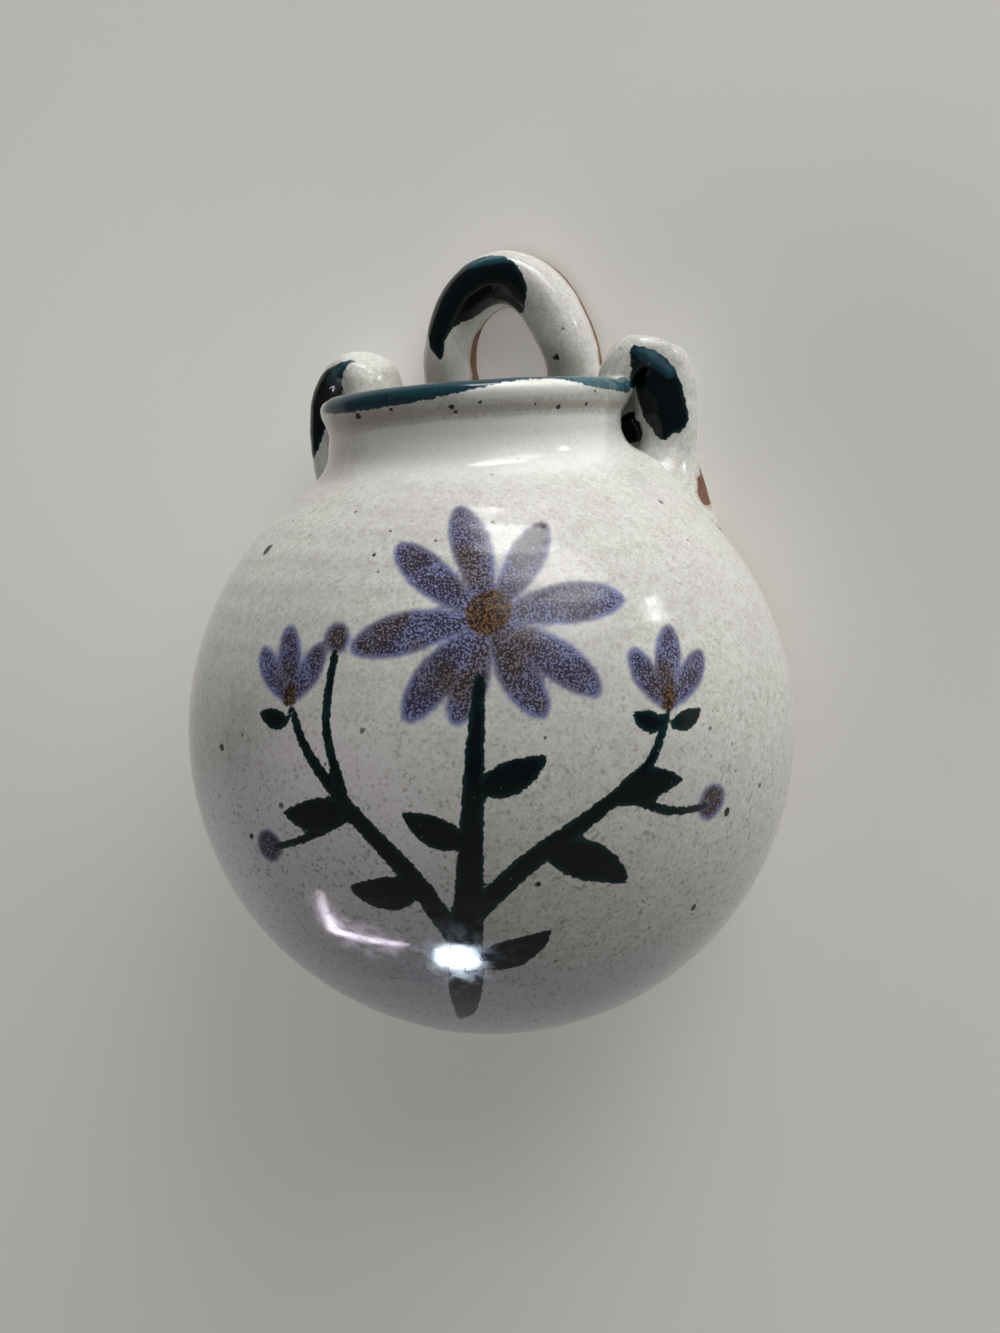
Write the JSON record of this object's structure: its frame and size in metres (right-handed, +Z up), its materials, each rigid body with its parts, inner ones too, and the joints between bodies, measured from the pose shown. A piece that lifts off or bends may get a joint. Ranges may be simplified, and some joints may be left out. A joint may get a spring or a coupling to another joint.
{
  "type": "wall vase",
  "caption": "Globe-shaped stoneware wall vase with a short neck, a flat back, an arched hanging loop behind the rim and a coiled lug on each side.",
  "frame": {"origin": "the crown of the hanging loop's opening, where a nail in the wall carries the vase, in the plane of the wall", "axes": "+Z up, +Y out of the vase's flat back into the wall, so the front faces -Y, and +X to the right of someone who faces the wall"},
  "size_m": [0.11, 0.082, 0.1434],
  "materials": {
    "speckled_glaze": "satin off-white glaze with iron specks, under painted iron and cobalt brushwork",
    "bare_stoneware": "unglazed, toasted red-brown, matt"
  },
  "bodies": {
    "root": {"thrown_body": "speckled_glaze", "hanging_loop": "speckled_glaze", "left_lug": "speckled_glaze", "right_lug": "speckled_glaze", "back_slab": "bare_stoneware"}
  },
  "joints": []
}
